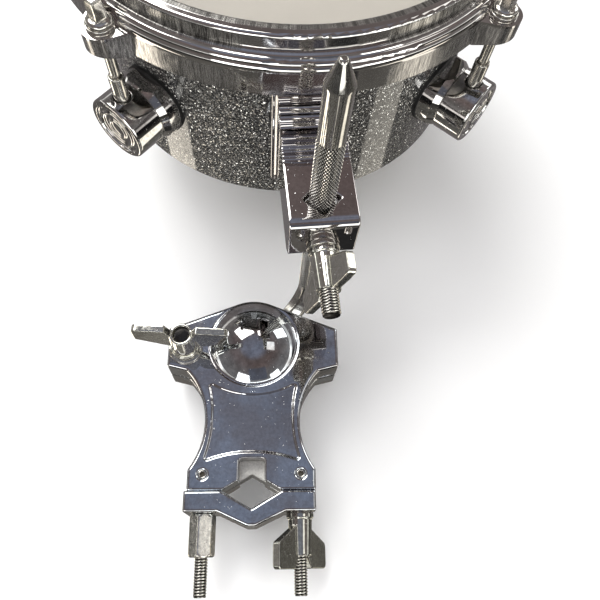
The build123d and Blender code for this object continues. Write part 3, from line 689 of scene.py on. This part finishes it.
def rod_part():
    """Skin of the whole rod in the arm's frame: hexagonal arm and bend, knurling, smooth end and cone."""
    columns = KNURL_STARTS * KNURL_STEPS
    angle = np.arange(columns) * TURN / columns
    hexagon = flat_sided(angle, ROD_HEX_HALF, 6, 26)
    rings = []

    def ring(centre, rise, radii):
        """One ring about a path that has turned up by an angle."""
        first = np.array([0.0, 1.0, 0.0])
        second = np.array([-math.sin(rise), 0.0, math.cos(rise)])
        round_path = np.cos(angle)[:, None] * first + np.sin(angle)[:, None] * second
        rings.append(np.array(centre) + radii[:, None] * round_path)

    upright = math.pi / 2
    for x in np.linspace(ARM_START, ROD_STRAIGHT, 10):
        ring((x, 0, 0), 0.0, hexagon)
    for rise in np.linspace(0, upright, 40)[1:]:
        ring((ROD_STRAIGHT + BEND_R * math.sin(rise), 0, BEND_R * (1 - math.cos(rise))), rise, hexagon)
    reach = ROD_STRAIGHT + BEND_R
    ring((reach, 0, HEX_TOP), upright, hexagon)
    ring((reach, 0, HEX_TOP + 0.4), upright, np.minimum(hexagon, ROD_HEX_HALF + 0.25))
    rows = np.arange(0, (KNURL_TOP - 0.4 - KNURL_LOW) / KNURL_PITCH * KNURL_STEPS)
    steps = np.arange(columns)
    for row in rows:
        one = 1 - np.abs(2 * (((steps + row) / KNURL_STEPS) % 1) - 1)
        other = 1 - np.abs(2 * (((steps - row) / KNURL_STEPS) % 1) - 1)
        peak = np.clip(1.25 * np.minimum(one, other), 0, 1)
        height = KNURL_LOW + row * KNURL_PITCH / KNURL_STEPS
        fade = min(1.0, (height - KNURL_LOW + 0.3) / 1.2, (KNURL_TOP - height + 0.2) / 1.2)
        ring((reach, 0, height), upright, KNURL_R - KNURL_DEPTH * (1 - peak * fade))
    outline = [(ROD_R, KNURL_TOP), (ROD_R, SHOULDER), (1.75, TIP - 0.7), (TIP_R, TIP), (0.05, TIP)]
    for radius, height in softened(outline, 0.5, 3):
        ring((reach, 0, height), upright, np.full(columns, radius))
    return skin(np.array(rings))


arm_place = Matrix.Translation(BALL) @ Matrix.Rotation(math.atan2(ARM.y, ARM.x), 4, "Z")
add("knurled_l_rod", rod_part(), "arm", "rod_chrome", ["l_rod"], place=arm_place, smooth_angle=38)


# ---------------------------------------------------------------- bracket

cast("bracket_casting", "bracket_body", 0.4, 3, "drum", turn=BRACKET_YAW - math.pi / 2)

ROD_EYE_OUT, ROD_EYE_IN, ROD_EYE_HALF = 8.7, 5.8, 5.0
STUD_START, ARM_FRONT, STUD_END = 7.0, 12.5, 44.5     # from the rod's axis
WASHER_R, WASHER_THICK = 7.2, 2.6
eyebolt_at = ROD / MM + Vector((0, 0, EYEBOLT_UP))
eyebolt_place = placed(eyebolt_at, OUTWARD)
stud = moved(screw(STUD_START, ARM_FRONT + 0.5, STUD_END, M8_R, M8_PITCH, M8_DEPTH), eyebolt_place)
eye = moved(washer(ROD_EYE_IN, ROD_EYE_OUT, -ROD_EYE_HALF, ROD_EYE_HALF, 0.8), Matrix.Translation(eyebolt_at))
add("eye_screw", joined(stud, eye), "drum", "screw_steel", ["bracket_eyebolt"])
thick_washer = washer(M8_R + 0.2, WASHER_R, ARM_FRONT, ARM_FRONT + WASHER_THICK, 0.5)
add("bracket_flat_washer", moved(thick_washer, eyebolt_place), "drum", "screw_steel", ["bracket_washer"])


# ---------------------------------------------------------------- tuning hardware

SCREW_CIRCLE, SCREW_END, SEAT, TENSION_R = 117.0, 66.0, 129.5, 2.4
NUT_R, NUT_LOW, NUT_HIGH, NECK_R, NECK_TOP = 5.2, 64.0, 83.0, 3.5, 101.4
CUP_R, CUP_LOW = 6.0, 128.0


def tuning_screw():
    """Tuning screw from its shank's end to its square head, about Z. A row is a height, a size and a form."""
    columns = 64
    angle = np.arange(columns) * TURN / columns
    square = flat_sided(angle, 1.0, 4, 16)
    circle = np.ones(columns)
    rows = [(SCREW_END, 2.0, circle), (SCREW_END + 0.6, TENSION_R, circle),
            (SEAT, TENSION_R, circle), (SEAT, 5.1, circle), (SEAT + 0.35, 5.45, circle),
            (SEAT + 1.0, 5.5, circle), (SEAT + 1.7, 5.1, circle),
            (SEAT + 2.15, 4.3, circle), (SEAT + 2.3, 3.6, circle), (SEAT + 2.4, 2.8, square),
            (SEAT + 2.7, 2.7, square), (SEAT + 6, 2.67, square), (SEAT + 10.2, 2.63, square),
            (SEAT + 10.7, 2.45, square), (SEAT + 10.95, 2.1, square), (SEAT + 11.0, 1.2, circle)]
    radii = np.array([size * shape for _, size, shape in rows])
    return skin(ring_rows(radii, [height for height, _, _ in rows], columns))


def swivel_nut():
    """Long nut whose neck stands out of the turret, about Z."""
    bore = TENSION_R + PLAY
    points = [(bore, NUT_LOW), (NUT_R, NUT_LOW), (NUT_R, NUT_HIGH), (NECK_R, NUT_HIGH + 0.4),
              (NECK_R, NECK_TOP), (bore, NECK_TOP)]
    return lathe(points, 64, 0.45, looped=True)


cups = []
for number in range(1, LUG_COUNT + 1):
    angle = lug_angle(number)
    on_screw = DRUM / MM + SCREW_CIRCLE * Vector((math.cos(angle), math.sin(angle), 0))
    on_circle = Matrix.Translation(on_screw * MM) @ Matrix.Rotation(angle, 4, "Z")
    add(f"tuning_screw_{number}", tuning_screw(), f"tension_rod_{number}", "screw_steel",
        [f"tension_rod_{number}"], place=on_circle, smooth_angle=40)
    add(f"swivel_nut_{number}", swivel_nut(), "drum", "screw_steel",
        [f"lug_swivel_nut_{number}"], place=on_circle)
    cast(f"turret_{number}", f"lug_turret_{number}", 0.33, 3, "drum", turn=angle)
    cups.append(moved(washer(TENSION_R + 0.3, CUP_R, CUP_LOW, SEAT, 0.4, 64), Matrix.Translation(on_screw)))
add("cup_washers", joined(*cups), "drum", "screw_steel", ["tension_rod_washers"])


# ---------------------------------------------------------------- camera

CAMERA_AT = Vector((6.4, -32.7, 304.0)) * MM
CAMERA_LOOK = Vector((0.0556, 0.4061, -0.9121)).normalized()
CAMERA_RIGHT = Vector((0.998, -0.0165, 0.0535))
LENS, SENSOR = 36.0, 36.0
NEAR, FAR = 0.01, 50.0

camera = bpy.data.objects.new("camera", bpy.data.cameras.new("camera"))
scene.collection.objects.link(camera)
camera_right = (CAMERA_RIGHT - CAMERA_LOOK * CAMERA_RIGHT.dot(CAMERA_LOOK)).normalized()
camera_up = camera_right.cross(CAMERA_LOOK)
camera_turn = Matrix((camera_right, camera_up, -CAMERA_LOOK)).transposed().to_4x4()
camera.matrix_world = Matrix.Translation(CAMERA_AT) @ camera_turn
camera.data.lens = LENS
camera.data.sensor_width = SENSOR
camera.data.clip_start, camera.data.clip_end = NEAR, FAR
scene.camera = camera


# ---------------------------------------------------------------- floor, lamps and room

FLOOR_GAP, FLOOR_HALF = 0.4 * MM, 6.0
floor_z = cad_low.z - FLOOR_GAP
floor_corners = [(x * FLOOR_HALF, y * FLOOR_HALF, floor_z) for x, y in ((-1, -1), (1, -1), (1, 1), (-1, 1))]
floor_mesh = bpy.data.meshes.new("floor")
floor_mesh.from_pydata(floor_corners, [], [(0, 1, 2, 3)])
floor = bpy.data.objects.new("floor", floor_mesh)
scene.collection.objects.link(floor)
paper, paper_tree, paper_shader, paper_at = surface("paper", Roughness=0.9, Specular_IOR_Level=0.0)
paper_cloud = paper_tree.noise(paper_at, 0.3, 2.0)
paper_colour = paper_tree.mix(paper_cloud, rgba(0.93, 0.93, 0.93), rgba(0.95, 0.95, 0.95))
paper_tree.feed(paper_shader, {"Base Color": paper_colour})
floor_mesh.materials.append(paper)
floor.visible_glossy = False


def lamp(name, at, toward, size, power):
    """Soft square lamp that is out of sight in reflections: place, aim and size in metres, power in watts."""
    light = bpy.data.lights.new(name, "AREA")
    light.shape = "SQUARE"
    light.size, light.energy = size, power
    thing = bpy.data.objects.new(name, light)
    scene.collection.objects.link(thing)
    thing.location = at
    thing.rotation_mode = "QUATERNION"
    thing.rotation_quaternion = (Vector(toward) - Vector(at)).to_track_quat("-Z", "Y")
    thing.visible_glossy = False


lamp("key", (-0.85, 0.60, 1.25), (0.02, 0.1, 0), 1.6, 12.5)
lamp("side", (-1.1, -0.1, 0.75), (0.02, 0.0, 0), 0.6, 5.0)
lamp("fill", (0.2, -0.2, 1.9), (0.05, 0.1, 0), 2.2, 15.0)

# Windows and lamps of the room, as the plating shows them: azimuth from +Y towards +X and elevation of the
# middle, then half width and half height, all in degrees, then the light.
PANELS = [
    (-30, 52, 14, 13, (7.0, 7.0, 6.8)),
    (55, 26, 8, 12, (3.6, 3.6, 3.5)),
    (31, 16, 6, 9, (2.2, 2.2, 2.1)),
    (-160, 16, 12, 12, (4.4, 4.4, 4.3)),
    (137, 11, 9, 10, (4.4, 4.4, 4.2)),
    (171, 31, 17, 13, (0.12, 0.125, 0.15)),
    (-100, -45, 7, 24, (3.8, 3.5, 3.0)),
    (108, -46, 7, 24, (1.7, 1.60, 1.40)),
    (180, -50, 2.5, 20, (0.9, 0.86, 0.80)),
    (167, 3, 20, 11, (2.6, 2.6, 2.5)),
    (85, 56, 8, 8, (1.5, 1.48, 1.42)),
    (150, -50, 6, 22, (0.03, 0.03, 0.03)),
]
SKY = [  # sine of the elevation, then the light
    (-1.0, (0.17, 0.16, 0.145)), (-0.75, (0.12, 0.115, 0.105)), (-0.40, (0.10, 0.095, 0.085)),
    (-0.14, (0.02, 0.02, 0.02)), (0.07, (0.02, 0.02, 0.02)), (0.22, (0.24, 0.23, 0.225)),
    (0.5, (0.19, 0.175, 0.17)), (0.78, (0.17, 0.135, 0.13)), (0.86, (0.175, 0.145, 0.14)),
    (0.94, (0.20, 0.21, 0.26)), (1.0, (0.21, 0.23, 0.29)),
]
BAND_LOW, BAND_HIGH, BAND_LIGHT = 0.09, 0.18, (2.2, 2.2, 2.1)     # sines of a bright strip above the horizon
FAR_WALL, FAR_TOP = (0.20, 0.185, 0.185), 0.15      # the wall at +Y, and the sine of its upper edge


def direction(azimuth, elevation):
    """Unit vector for angles in degrees."""
    a, e = math.radians(azimuth), math.radians(elevation)
    return Vector((math.cos(e) * math.sin(a), math.cos(e) * math.cos(a), math.sin(e)))


def sky(tree, height):
    """Colour ramp over the sine of the elevation."""
    ramp = tree.node("ValToRGB", {0: tree.math("ADD", tree.math("MULTIPLY", height, 0.5), 0.5)})
    stops = ramp.color_ramp.elements
    stops.remove(stops[1])
    stops[0].color = rgba(*SKY[0][1])
    for sine, colour in SKY[1:]:
        stops.new(sine * 0.5 + 0.5).color = rgba(*colour)
    return ramp.outputs["Color"]


def panel_mask(tree, look, azimuth, elevation, wide, tall):
    """Mask of a soft-edged rectangle on the sky."""
    to = direction(azimuth, elevation)
    side = to.cross(UP).normalized()
    facing = tree.vector("DOT_PRODUCT", look, tuple(to))
    safe = tree.math("MAXIMUM", facing, 0.05)
    mask = tree.span(facing, 0.2, 0.3)
    for axis, reach in ((side, wide), (side.cross(to), tall)):
        offset = tree.math("DIVIDE", tree.vector("DOT_PRODUCT", look, tuple(axis)), safe)
        limit = math.tan(math.radians(reach))
        mask = tree.product(mask, tree.span(tree.math("ABSOLUTE", offset), limit * 1.08, limit * 0.92))
    return mask


def build_room():
    """World: a dim room with bright panels, and plain white where the camera sees it directly."""
    world = bpy.data.worlds.new("room")
    scene.world = world
    world.use_nodes = True
    world.node_tree.nodes.clear()
    tree = Tree(world.node_tree)
    look = tree.node("TexCoord").outputs["Generated"]
    parts = tree.node("SeparateXYZ", {0: look})
    height = parts.outputs["Z"]
    far = tree.product(tree.span(parts.outputs["Y"], 0.0, 0.4), tree.span(height, FAR_TOP, FAR_TOP - 0.1))
    walls = tree.mix(far, sky(tree, height), rgba(*FAR_WALL))
    broad = tree.span(tree.noise(look, 0.28, 4.0, 0.6), 0.3, 0.7, 0.78, 1.22)
    light = tree.scaled(walls, broad)
    above = tree.span(height, BAND_LOW - 0.02, BAND_LOW)
    below = tree.span(height, BAND_HIGH + 0.02, BAND_HIGH)
    uneven = tree.span(tree.noise(look, 0.5, 2.0), 0.40, 0.62, 0.30, 1.0)
    light = tree.mix(tree.product(above, below, uneven), light, rgba(*BAND_LIGHT))
    for azimuth, elevation, wide, tall, colour in PANELS:
        light = tree.mix(panel_mask(tree, look, azimuth, elevation, wide, tall), light, rgba(*colour))
    seen = tree.mix(tree.node("LightPath").outputs["Is Camera Ray"], light, rgba(0.96, 0.96, 0.96))
    background = tree.node("Background", {"Color": seen, "Strength": 1.0})
    tree.node("OutputWorld", {"Surface": background.outputs[0]})


build_room()
scene.view_settings.view_transform = "Standard"
